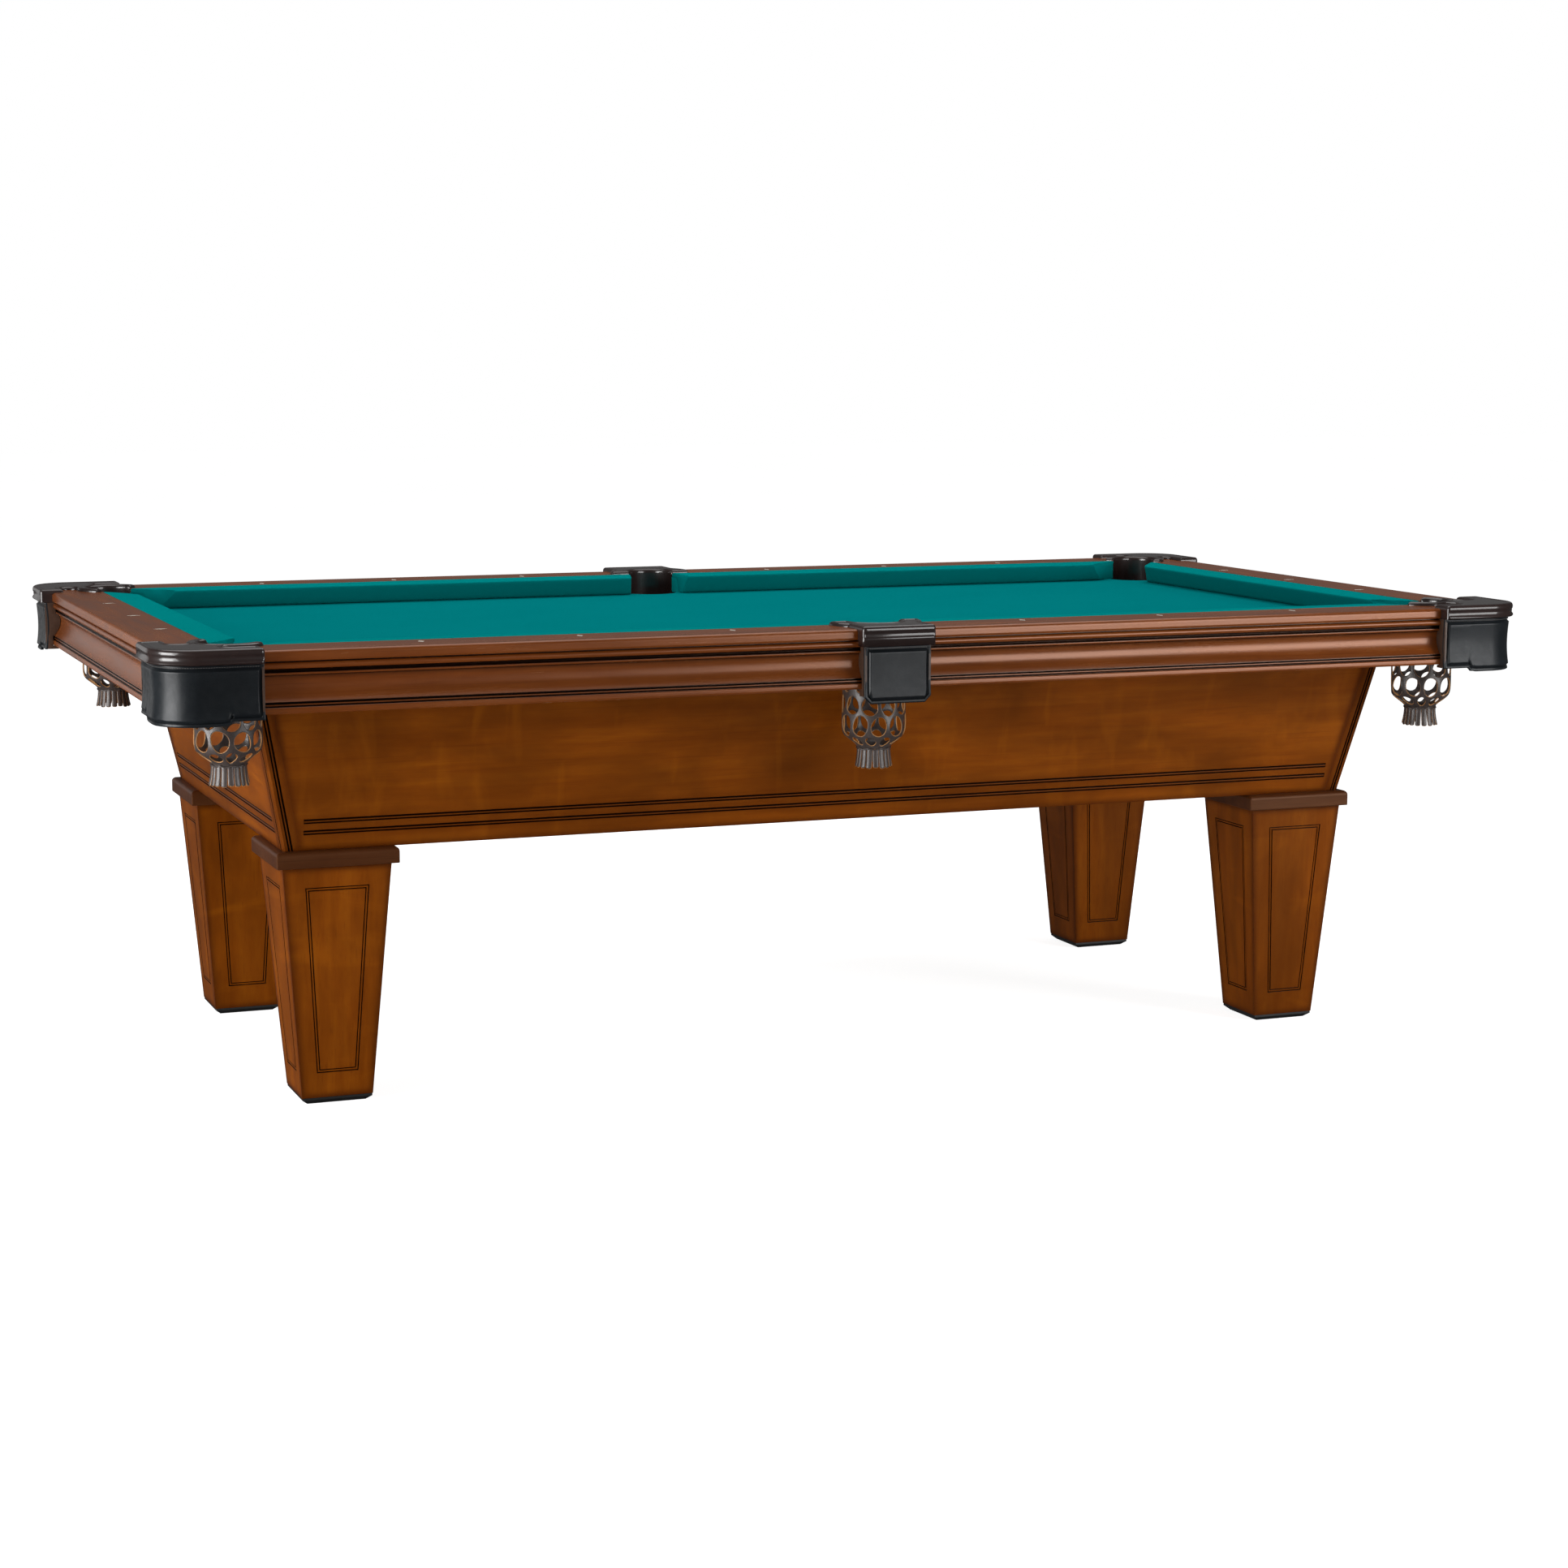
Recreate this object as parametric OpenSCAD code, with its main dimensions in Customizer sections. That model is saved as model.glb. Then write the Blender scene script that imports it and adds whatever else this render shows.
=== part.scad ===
// Eight-foot pool table: three-piece slate bed on a tapered cabinet with four tapered legs,
// six moulded rails, and six leather drop pockets with outside shields and hanging nets.
// X runs along the table, Y across it, Z up from the floor. Origin: floor, table centre.

/* [Playing area] */
// Nose-to-nose length of the playing area; its width is half of this
play_l = 2235; // [2100:5:2400]
// Height of the cloth above the floor
bed_z = 792; // [760:1:820]
// Gap between the cushion noses at a side pocket
side_mouth = 127; // [120:1:136]
// Distance from the nose lines' crossing to each cushion nose at a corner pocket
corner_leg = 83; // [78:1:90]

/* [Rails] */
// Width of a rail from the cushion nose to its outer edge
rail_w = 160; // [150:1:175]
// Width of the cloth-covered cushion top
cushion_w = 62; // [50:1:70]
// Height of the rail top above the cloth
rail_h = 40; // [38:1:44]
// Height of the cushion nose above the cloth
nose_h = 36.5; // [35:0.5:37]
// Thickness of the rail's flat top board
board_t = 19; // [16:1:22]
// Height of the moulded skirt under the top board
skirt_h = 87; // [75:1:95]

/* [Slate bed] */
// Thickness of each slate
slate_t = 25; // [19:1:30]
// How far the slate reaches beyond the nose line
slate_reach = 76; // [70:1:80]
// Thickness of the wood glued under the slates
backing_t = 19; // [16:1:22]
// Radius of a pocket cut-out in the slate
slate_hole_r = 57; // [56:1:58]

/* [Cabinet] */
// Half length of the cabinet's bottom edge
cab_half_l = 1046; // [1020:1:1080]
// Half width of the cabinet's bottom edge
cab_half_w = 488; // [460:1:500]
// Height of the cabinet's bottom edge, where it sits on the leg caps
cab_z = 459; // [430:1:480]
// Outward lean of the cabinet's sides, in millimetres per millimetre of height
cab_lean = 0.208; // [0.15:0.001:0.22]
// Thickness of the cabinet's sides
apron_t = 25; // [19:1:28]

/* [Legs] */
// Leg centre distance from the table centre, along the table
leg_x = 952; // [930:1:970]
// Leg centre distance from the table centre, across the table
leg_y = 395; // [380:1:400]
// Side of the leg's square top
leg_top = 193; // [170:1:200]
// Side of the leg's square bottom
leg_bottom = 127; // [110:1:140]
// Side of the square cap on each leg
cap_w = 217; // [210:1:230]
// Thickness of the cap
cap_t = 29; // [24:1:32]
// Height of the black levelling foot
foot_h = 12; // [10:1:16]
// How far a levelling foot screws out
foot_travel = 19; // [10:1:25]

/* [Pockets] */
// Radius of the opening in a pocket iron
iron_r = 48; // [46:1:50]
// How far the irons stand out beyond the rails
iron_proud = 24; // [15:1:28]
// How far the shields stand out beyond the rails
shield_proud = 19; // [10:1:23]
// Height of an iron above the rail top
iron_rise = 7; // [4:1:9]
// Outside radius of a net at its widest
net_r = 61; // [56:1:61]

/* [Hidden] */
$fn = 64;
cloth_t = 1;
slate_count = 3;
slate_gap = 0.1;
half_l = play_l / 2;
half_w = play_l / 4;
rail_top = bed_z + rail_h;
board_z = rail_top - board_t;
skirt_z = board_z - skirt_h;
slate_z = bed_z - cloth_t - slate_t;
backing_z = slate_z - backing_t;
iron_top = rail_top + iron_rise;
slate_half_l = half_l + slate_reach;
slate_half_w = half_w + slate_reach;

// Rail section: where the body stops behind the skirt, and the cushion's seat
body_out = 130;
seat_v = 44;
seat_z = rail_top - 8;
seat_slope = 10 / 32;
nosing_r = 7;
edge_r = 4;

// Corner pocket, measured from the crossing of the nose lines
corner_c = 40;
corner_ring_r = 66;
corner_facing = 1 / tan(38);
patch_in = 3.5;
finger_u = 44;
finger_r = 17;
finger_v = 138;
corner_round = 80;
throat_back = (2 * corner_c - (cushion_w - corner_leg + cushion_w * corner_facing)) / sqrt(2);

// Side pocket, measured from the middle of the nose line
side_c = 66;
side_ring_r = 86;
side_facing = tan(14);
side_half = 70;
side_lip_drop = 10;
side_shield_w = 127;

throat_in = 0.6;
ring_h = 7;
liner_t = 5;
liner_r = iron_r + liner_t;
liner_z = backing_z - 2;
lip_gap = 1.5;
shield_t = 6;
corner_shield_z = 712;
side_shield_z = 701;
shield_step = 8;
shield_end = 54;
shield_cut = 8.5;
corner_net_z = 600;
side_net_z = 578;

cab_h = backing_z - cab_z;
board_w = 130;
post_w = 54;
post_face = 30;
block_t = 24;
block_w = 150;
post_arris = 3;
post_bead = 13.5;
beam_w = 45;
beam_h = 140;
beam_x = 398;
groove_r = 4.2;
bead_r = 2.3;
bead_in = 2.6;
groove_heights = [32, 52];

leg_z = foot_h + 0.3;
leg_h = cab_z - cap_t - leg_z;
stem_r = 6;
nut_r = 6.06;
stem_top = 72;
panel_grow = 0.058;
cap_round = 8;
bolt_offset = 35;
rail_bolt_v = 52;
long_bolts = [200, 590, 980];
end_bolts = [-330, 0, 330];
sight_gap = play_l / 8;
sight_v = 93;

CORNERS = ["front_left", "front_right", "back_left", "back_right"];
LONG = CORNERS;
ENDS = ["left", "right"];
SIDES = ["front", "back"];

honey = "#8a4a12";
mahogany = "#5a2f22";
teal = "#00807c";
hide = "#2c1c17";
charcoal = "#33383b";
steel = "#9a9a9a";

function arc(cx, cy, r, a0, a1, n = 6) =
    [for (i = [0:n]) [cx + r * cos(a0 + (a1 - a0) * i / n), cy + r * sin(a0 + (a1 - a0) * i / n)]];

// Placement: shapes are drawn for the back right corner, the back side or the right end
module at_corner(c) {
    flip_x = c == "front_left" || c == "back_left" || c == "left";
    flip_y = c == "front_left" || c == "front_right" || c == "front";
    mirror([flip_x ? 1 : 0, 0, 0]) mirror([0, flip_y ? 1 : 0, 0]) children();
}

module swap_xy() mirror([1, -1, 0]) children();

// Extrudes a (v, z) section along X, where v is the distance out from the nose line
module run(x0, x1) translate([x0, 0, 0]) rotate([90, 0, 90]) linear_extrude(x1 - x0) children();

// ---- Plans, in the rail's own frame: X along the rail, Y out from the nose line ----

module jaw_plan(a, b, ta, tb)
    polygon([[a, 0], [b, 0], [b + tb * cushion_w, cushion_w], [a - ta * cushion_w, cushion_w]]);

module beyond_throat() translate([corner_c, corner_c]) rotate(45) translate([-throat_back, -250])
    square([500, 500]);

module finger_plan() {
    translate([0, cushion_w]) square([finger_u, finger_v - cushion_w]);
    translate([finger_u, finger_v - finger_r]) circle(finger_r);
}

// Area that a corner iron takes out of the rails, its opening included
module corner_patch() {
    difference() {
        translate([patch_in, patch_in]) square(240);
        finger_plan();
        swap_xy() finger_plan();
    }
    intersection() {
        translate([corner_c, corner_c]) circle(corner_ring_r);
        beyond_throat();
    }
}

module side_patch() {
    intersection() {
        translate([0, side_c]) circle(side_ring_r);
        translate([-100, cushion_w]) square([200, 60]);
    }
    translate([-side_half, cushion_w]) square([2 * side_half, 240]);
}

// A rail's wood before its pockets are cut: the jaws' taper, then a strip to e beyond the noses
module wood_plan(a, b, ta, tb, e0, e1) polygon([[a, 0], [b, 0], [b + tb * cushion_w, cushion_w],
    [e1, cushion_w], [e1, 180], [e0, 180], [e0, cushion_w], [a - ta * cushion_w, cushion_w]]);

module long_wood_plan() difference() {
    wood_plan(side_mouth / 2, half_l - corner_leg, side_facing, corner_facing, 0, half_l + 100);
    side_patch();
    translate([half_l, 0]) corner_patch();
    translate([half_l + finger_u + finger_r, 0]) square(240);
}

module end_wood_plan() difference() {
    wood_plan(corner_leg - half_w, half_w - corner_leg, corner_facing, corner_facing,
        -half_w - 100, half_w + 100);
    for (m = [0, 1]) mirror([m, 0]) {
        translate([half_w, 0]) corner_patch();
        translate([half_w + finger_u + finger_r, 0]) square(240);
    }
}

// ---- Rails, skirts and cushions ----

function wood_section() = concat(
    [[seat_v - (seat_z - bed_z) * seat_slope, bed_z], [body_out, bed_z], [body_out, board_z]],
    arc(rail_w - edge_r, board_z + edge_r, edge_r, -90, 0, 5),
    arc(rail_w - nosing_r, rail_top - nosing_r, nosing_r, 0, 90, 8),
    [[cushion_w, rail_top], [cushion_w, seat_z], [seat_v, seat_z]]);

function cushion_section() = concat(
    [[seat_v - (seat_z - bed_z - 3) * seat_slope, bed_z + 3], [seat_v, seat_z],
     [cushion_w, seat_z], [cushion_w, rail_top]],
    arc(2, bed_z + nose_h, 2, 100, 200, 6),
    [[21, bed_z + 3]]);

// The skirt's moulded face, from its top edge down: bead, cove, bead, hollow, bead and lip
function skirt_section() = concat(
    [[body_out, board_z], [150, board_z], [150, board_z - 1.8]],
    arc(153, board_z - 7.7, 5.5, 90, -90, 10),
    [[151, board_z - 13.5], [149.5, board_z - 15.5]],
    arc(151.5, board_z - 20.4, 2.6, 90, -90, 6),
    [for (i = [0:24]) [144.5 + 0.0166 * pow(14.5 - 43.5 * i / 24, 2), board_z - 23.5 - 43.5 * i / 24]],
    [[152, board_z - 67], [152, board_z - 69]],
    arc(155, board_z - 72.2, 2.6, 90, -90, 6),
    arc(rail_w - edge_r, board_z - 79, edge_r, 90, 0, 5),
    arc(rail_w - edge_r, skirt_z + edge_r, edge_r, 0, -90, 5),
    [[body_out, skirt_z]]);

module sight_plan() polygon([[-5.5, 0], [0, -12.5], [5.5, 0], [0, 12.5]]);

module sight_row(places, z, h)
    for (x = places) translate([x, sight_v, z]) linear_extrude(h) sight_plan();

module bolt_holes(places)
    for (x = places) translate([x, rail_bolt_v, bed_z - 1]) cylinder(h = 24, r = 5);

long_sights = [sight_gap, 2 * sight_gap, 3 * sight_gap];
end_sights = [-sight_gap, 0, sight_gap];

module rail_long() color(mahogany) translate([0, half_w, 0]) difference() {
    intersection() {
        run(0, half_l + 70) polygon(wood_section());
        translate([0, 0, bed_z - 5]) linear_extrude(60) long_wood_plan();
    }
    sight_row(long_sights, rail_top - 1, 3);
    bolt_holes(long_bolts);
}

module rail_end() color(mahogany) translate([half_l, 0, 0]) swap_xy() difference() {
    intersection() {
        run(-half_w - 70, half_w + 70) polygon(wood_section());
        translate([0, 0, bed_z - 5]) linear_extrude(60) end_wood_plan();
    }
    sight_row(end_sights, rail_top - 1, 3);
    bolt_holes(end_bolts);
}

module skirt_long() color(mahogany) translate([0, half_w, 0])
    run(45, half_l + body_out - 2) polygon(skirt_section());

module skirt_end() color(mahogany) translate([half_l, 0, 0]) swap_xy()
    run(2 - half_w - body_out, half_w + body_out - 2) polygon(skirt_section());

module cushion_long() color(teal) translate([0, half_w, 0]) intersection() {
    run(0, half_l + 60) polygon(cushion_section());
    translate([0, 0, bed_z - 5]) linear_extrude(60)
        jaw_plan(side_mouth / 2, half_l - corner_leg, side_facing, corner_facing);
}

module cushion_end() color(teal) translate([half_l, 0, 0]) swap_xy() intersection() {
    run(-half_w, half_w) polygon(cushion_section());
    translate([0, 0, bed_z - 5]) linear_extrude(60)
        jaw_plan(corner_leg - half_w, half_w - corner_leg, corner_facing, corner_facing);
}

// ---- Pocket irons: a leather-covered top flange and the liner that hangs below it ----

// Opening of radius r around a pocket's centre, running out towards the table at half width w
module corner_u(r) {
    w = r - throat_in;
    translate([corner_c, corner_c]) circle(r);
    translate([corner_c, corner_c]) rotate(45) translate([-120, -w]) square([120, 2 * w]);
}

module side_u(r) {
    w = r - throat_in;
    translate([0, side_c]) circle(r);
    translate([-w, side_c - 120]) square([2 * w, 120]);
}

// Rounded outline of the corner, measured out to d from both nose lines
module corner_outline(d, r) {
    translate([-100, -100]) square([d + 100 - r, d + 100]);
    translate([-100, -100]) square([d + 100, d + 100 - r]);
    translate([d - r, d - r]) circle(r);
}

module corner_iron() color(hide) translate([half_l, half_w, 0]) difference() {
    union() {
        translate([0, 0, board_z]) linear_extrude(iron_top - board_z) intersection() {
            corner_patch();
            corner_outline(rail_w + iron_proud, corner_round);
        }
        translate([0, 0, liner_z + ring_h + 1]) linear_extrude(board_z + 4 - liner_z - ring_h)
            intersection() {
                corner_u(liner_r);
                beyond_throat();
            }
        translate([0, 0, liner_z]) linear_extrude(ring_h + 2) intersection() {
            translate([corner_c, corner_c]) circle(liner_r);
            beyond_throat();
        }
    }
    translate([0, 0, liner_z - 1]) linear_extrude(iron_top - liner_z + 2) corner_u(iron_r);
}

module side_iron() color(hide) translate([0, half_w, 0]) difference() {
    union() {
        translate([0, 0, board_z]) linear_extrude(iron_top - board_z) intersection() {
            side_patch();
            translate([-200, 0]) square([400, rail_w + iron_proud]);
        }
        translate([-side_half, rail_w + lip_gap, board_z - side_lip_drop])
            cube([2 * side_half, iron_proud - lip_gap, side_lip_drop + 5]);
        translate([0, 0, liner_z]) linear_extrude(board_z + 5 - liner_z) intersection() {
            side_u(liner_r);
            translate([-100, cushion_w]) square([200, 200]);
        }
    }
    translate([0, 0, liner_z - 1]) linear_extrude(iron_top - liner_z + 2) side_u(iron_r);
}

// ---- Shields ----

// Upright section of a shield, from d = inner face to outer face, gently hollowed
function shield_section(d, z0, z1) = concat(
    [for (i = [0:8]) [d - 2.5 * sin(i * 22.5), z0 + (z1 - z0) * i / 8]],
    [for (i = [8:-1:0]) [d - shield_t - 2.5 * sin(i * 22.5), z0 + (z1 - z0) * i / 8]]);

module corner_shield_arm() {
    d = rail_w + shield_proud;
    difference() {
        union() {
            run(patch_in, d + 5 - corner_round) polygon(shield_section(d, corner_shield_z, board_z));
            translate([patch_in, rail_w + lip_gap, corner_shield_z + shield_step])
                cube([shield_t, shield_proud - shield_t, board_z - corner_shield_z - shield_step]);
        }
        translate([patch_in - 1, rail_w, corner_shield_z - 1]) cube([shield_end, 30, shield_step + 1]);
    }
}

module corner_shield() color(charcoal) translate([half_l, half_w, 0]) {
    d = rail_w + shield_proud;
    turn = d + 5 - corner_round;
    corner_shield_arm();
    swap_xy() corner_shield_arm();
    translate([turn, turn, 0]) rotate_extrude(angle = 90)
        polygon(shield_section(d - turn, corner_shield_z, board_z));
}

module side_shield() color(charcoal) translate([0, half_w, 0]) {
    top = board_z - side_lip_drop;
    difference() {
        run(-side_shield_w / 2, side_shield_w / 2)
            polygon(shield_section(rail_w + shield_proud, side_shield_z, top));
        for (m = [0, 1]) mirror([m, 0, 0]) translate([side_shield_w / 2, 0, side_shield_z])
            rotate([0, 45, 0]) translate([-shield_cut, rail_w, -shield_cut])
                cube([2 * shield_cut, 40, 2 * shield_cut]);
    }
    for (m = [0, 1]) mirror([m, 0, 0])
        translate([side_shield_w / 2 - shield_t, rail_w + lip_gap, side_shield_z + 16])
            cube([shield_t, shield_proud - shield_t, top - side_shield_z - 16]);
}

// ---- Nets: open bag, gathered neck with a closed floor, and a flared end below it ----

function net_section(z0) = [
    [0, z0 + 34], [25.5, z0 + 34], [29.5, z0], [33, z0], [29, z0 + 34], [net_r - 8, z0 + 46],
    [net_r, z0 + 64], [58, z0 + 90], [57, liner_z - 33], [56.5, liner_z - 1], [56.5, liner_z + ring_h],
    [liner_r, liner_z + ring_h], [liner_r, liner_z - 1], [53.5, liner_z - 33], [54.5, z0 + 90],
    [net_r - 3.5, z0 + 64], [net_r - 11.5, z0 + 49], [26, z0 + 40], [0, z0 + 40]];

module pocket_net(z0) color(hide) rotate_extrude() polygon(net_section(z0));

module corner_net()
    translate([half_l + corner_c, half_w + corner_c, 0]) pocket_net(corner_net_z);

module side_net() translate([0, half_w + side_c, 0]) pocket_net(side_net_z);

// ---- Slate bed ----

module pocket_holes(z, h, r) {
    for (c = CORNERS) at_corner(c)
        translate([half_l + corner_c, half_w + corner_c, z]) cylinder(h = h, r = r);
    for (s = SIDES) at_corner(s) translate([0, half_w + side_c, z]) cylinder(h = h, r = r);
}

module rail_bolt_places() {
    for (c = CORNERS) at_corner(c) for (x = long_bolts)
        translate([x, half_w + rail_bolt_v, 0]) children();
    for (e = ENDS) at_corner(e) for (y = end_bolts)
        translate([half_l + rail_bolt_v, y, 0]) children();
}

module plate(x0, x1, z, h)
    translate([x0, -slate_half_w, z]) cube([x1 - x0, 2 * slate_half_w, h]);

function slate_edge(i) = -slate_half_l + 2 * slate_half_l * i / slate_count;

module slate(i) color("#6f7478") difference() {
    plate(slate_edge(i) + (i == 0 ? 0 : slate_gap),
        slate_edge(i + 1) - (i == slate_count - 1 ? 0 : slate_gap), slate_z, slate_t);
    pocket_holes(slate_z - 1, slate_t + 2, slate_hole_r);
    rail_bolt_places() translate([0, 0, slate_z - 1]) cylinder(h = slate_t + 2, r = 6.5);
}

module bed_cloth() color(teal) difference() {
    plate(-slate_half_l, slate_half_l, bed_z - cloth_t, cloth_t);
    pocket_holes(bed_z - 5, 10, slate_hole_r);
    rail_bolt_places() translate([0, 0, bed_z - 5]) cylinder(h = 10, r = 6.5);
}

// One frame of boards per slate, open in the middle
module slate_backing() color("#c9a877") difference() {
    for (i = [0:slate_count - 1]) {
        x0 = slate_edge(i) + (i == 0 ? 0 : 0.5);
        x1 = slate_edge(i + 1) - (i == slate_count - 1 ? 0 : 0.5);
        in0 = i == 0 ? board_w : board_w / 2;
        in1 = i == slate_count - 1 ? board_w : board_w / 2;
        difference() {
            plate(x0, x1, backing_z, backing_t);
            translate([x0 + in0, board_w - slate_half_w, backing_z - 1])
                cube([x1 - x0 - in0 - in1, 2 * (slate_half_w - board_w), backing_t + 2]);
        }
    }
    pocket_holes(backing_z - 1, backing_t + 2, slate_hole_r + 3);
    rail_bolt_places() translate([0, 0, backing_z - 1]) cylinder(h = backing_t + 2, r = 17);
}

// ---- Cabinet ----

// Square-based frustum between heights z0 and z1, leaning out with height, inset by t
module frustum(t, z0, z1) {
    lo = cab_lean * (z0 - cab_z) - t;
    hi = cab_lean * (z1 - cab_z) - t;
    intersection() {
        rotate([90, 0, 0]) translate([0, 0, -900]) linear_extrude(1800)
            polygon([[-cab_half_l - lo, z0], [cab_half_l + lo, z0],
                     [cab_half_l + hi, z1], [-cab_half_l - hi, z1]]);
        translate([-1500, 0, 0]) rotate([90, 0, 90]) linear_extrude(3000)
            polygon([[-cab_half_w - lo, z0], [cab_half_w + lo, z0],
                     [cab_half_w + hi, z1], [-cab_half_w - hi, z1]]);
    }
}

// Leaning slab, in (v, z): t_in to t_out inside one cabinet wall at half width w
module wall_section(w, t_in, t_out) polygon([
    [w - t_in, cab_z], [w - t_out, cab_z],
    [w - t_out + cab_lean * cab_h, backing_z], [w - t_in + cab_lean * cab_h, backing_z]]);

module long_wall(t_in, t_out) run(-1500, 1500) wall_section(cab_half_w, t_in, t_out);

module end_wall(t_in, t_out) swap_xy() run(-1500, 1500) wall_section(cab_half_l, t_in, t_out);

// Span between the corner posts, widening with height, seen square on to a wall
module wall_span(half_len) rotate([90, 0, 0]) translate([0, 0, -1500]) linear_extrude(3000)
    polygon([[-half_len, cab_z], [half_len, cab_z],
             [half_len + cab_lean * cab_h, backing_z], [-half_len - cab_lean * cab_h, backing_z]]);

module rod(a, b, r) {
    d = b - a;
    translate(a) rotate([0, acos(d.z / norm(d)), atan2(d.y, d.x)]) cylinder(h = norm(d), r = r);
}

// Cutter for a bead between two fine grooves, from a to b; n points into the wood
module bead_cut(a, b, n) difference() {
    rod(a, b, groove_r);
    rod(a - (b - a) * 0.01 + n * bead_in, b + (b - a) * 0.01 + n * bead_in, bead_r);
}

// A wall along the back of the table, at half width w
module apron(half_len, w) color(honey) difference() {
    intersection() {
        run(-1500, 1500) wall_section(w, apron_t, 0);
        wall_span(half_len);
    }
    for (dz = groove_heights) bead_cut([5 - half_len, w + cab_lean * dz, cab_z + dz],
        [half_len - 5, w + cab_lean * dz, cab_z + dz], [0, -1, 0]);
}

module apron_long() apron(cab_half_l - post_face, cab_half_w);

module apron_end() swap_xy() apron(cab_half_w - post_face, cab_half_l);

module corner_post() color(honey) difference() {
    union() {
        intersection() {
            long_wall(post_w, 0);
            end_wall(post_w, 0);
        }
        intersection() {
            frustum(apron_t, cab_z, cab_z + block_t);
            translate([cab_half_l - apron_t - block_w, cab_half_w - apron_t - block_w, cab_z])
                cube([block_w + 50, block_w + 50, block_t]);
        }
    }
    intersection() {
        long_wall(apron_t, -9);
        wall_span(cab_half_l - post_face);
    }
    intersection() {
        end_wall(apron_t, -9);
        swap_xy() wall_span(cab_half_w - post_face);
    }
    lean = cab_lean * (cab_h + 20);
    for (p = [[post_bead, 0], [0, post_bead]])
        bead_cut([cab_half_l - p.x - cab_lean * 20, cab_half_w - p.y - cab_lean * 20, cab_z - 20],
            [cab_half_l - p.x + lean, cab_half_w - p.y + lean, backing_z + 20],
            [p.x == 0 ? -1 : 0, p.y == 0 ? -1 : 0, 0]);
    translate([cab_half_l, cab_half_w, cab_z]) rotate([0, 0, 45])
        rotate([0, atan(cab_lean * sqrt(2)), 0]) translate([-post_arris, -50, -50])
            cube([50, 100, cab_h + 150]);
    leg_bolt_places() translate([0, 0, cab_z - 1]) cylinder(h = block_t + 2, r = 5.2);
}

module corner_posts() for (c = CORNERS) at_corner(c) corner_post();

module frame_beams() color("#c9a877") intersection() {
    frustum(apron_t, backing_z - beam_h, backing_z);
    union() {
        for (x = [-beam_x, beam_x])
            translate([x - beam_w / 2, -700, backing_z - beam_h]) cube([beam_w, 1400, beam_h]);
        for (x = [-beam_x, beam_x], s = [0, 1]) mirror([s, 0, 0])
            translate([beam_x + beam_w / 2, -beam_w / 2, backing_z - beam_h])
                cube([900, beam_w, beam_h]);
        translate([beam_w / 2 - beam_x, -beam_w / 2, backing_z - beam_h])
            cube([2 * beam_x - beam_w, beam_w, beam_h]);
    }
}

// ---- Legs and feet ----

module leg_places(c) at_corner(c) translate([leg_x, leg_y, 0]) children();

module leg_bolt_places() translate([leg_x, leg_y, 0]) for (s = [-1, 1])
    translate([s * bolt_offset, -s * bolt_offset, 0]) children();

module taper(a, b, z, h) intersection() {
    rotate([90, 0, 0]) translate([0, 0, -200]) linear_extrude(400)
        polygon([[-a / 2, z], [a / 2, z], [b / 2, z + h], [-b / 2, z + h]]);
    translate([-200, 0, 0]) rotate([90, 0, 90]) linear_extrude(400)
        polygon([[-a / 2, z], [a / 2, z], [b / 2, z + h], [-b / 2, z + h]]);
}

// Panel outline on a leg face, inset i further than the groove's outer edge
module panel_outline(i) {
    y0 = 45 + i;
    y1 = leg_h - 36 - i;
    half = leg_bottom / 2 - 29 - i;
    polygon([[-half - panel_grow * y0, y0], [half + panel_grow * y0, y0],
             [half + panel_grow * y1, y1], [-half - panel_grow * y1, y1]]);
}

// Two fine grooves with a bead between them, cut into the leg's face
module panel_groove() {
    lean = atan((leg_top - leg_bottom) / 2 / leg_h);
    translate([0, -leg_bottom / 2, leg_z]) rotate([90 + lean, 0, 0])
        for (g = [[0, 1.8, 2.5], [1.8, 4.6, 0.4], [4.6, 6.4, 2.5]])
            translate([0, 0, -g[2]]) linear_extrude(g[2] + 2) difference() {
                panel_outline(g[0]);
                panel_outline(g[1]);
            }
}

module leg() color(honey) difference() {
    taper(leg_bottom, leg_top, leg_z, leg_h);
    for (a = [0:90:270]) rotate(a) panel_groove();
    translate([0, 0, leg_z - 1]) cylinder(h = stem_top + 30 - leg_z, r = 7.5);
    translate([0, 0, leg_z - 1]) cylinder(h = 19, r = 11);
    translate([0, 0, leg_z - 1]) cylinder(h = 3, r = 17);
    for (s = [-1, 1]) translate([s * bolt_offset, -s * bolt_offset, leg_z + leg_h - 42])
        cylinder(h = 50, r = 5.2);
}

module cap_section() {
    w = cap_w / 2;
    polygon(concat([[-w, cab_z - cap_t], [w, cab_z - cap_t]],
        arc(w - cap_round, cab_z - cap_round, cap_round, 0, 90),
        arc(cap_round - w, cab_z - cap_round, cap_round, 90, 180)));
}

module leg_cap() color(mahogany) difference() {
    intersection() {
        rotate([90, 0, 0]) translate([0, 0, -200]) linear_extrude(400) cap_section();
        translate([-200, 0, 0]) rotate([90, 0, 90]) linear_extrude(400) cap_section();
    }
    for (s = [-1, 1]) translate([s * bolt_offset, -s * bolt_offset, cab_z - cap_t - 1])
        cylinder(h = cap_t + 2, r = 5.2);
}

module foot() color("#141414") {
    intersection() {
        rotate([90, 0, 0]) translate([0, 0, -80]) linear_extrude(160) foot_outline();
        translate([-80, 0, 0]) rotate([90, 0, 90]) linear_extrude(160) foot_outline();
    }
    translate([0, 0, foot_h - 1]) cylinder(h = stem_top - foot_h + 1, r = stem_r);
}

module foot_outline() {
    w = leg_bottom / 2 - 1;
    polygon([[10 - w, 0], [w - 10, 0], [w, 8], [w, foot_h], [-w, foot_h], [-w, 8]]);
}

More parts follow.
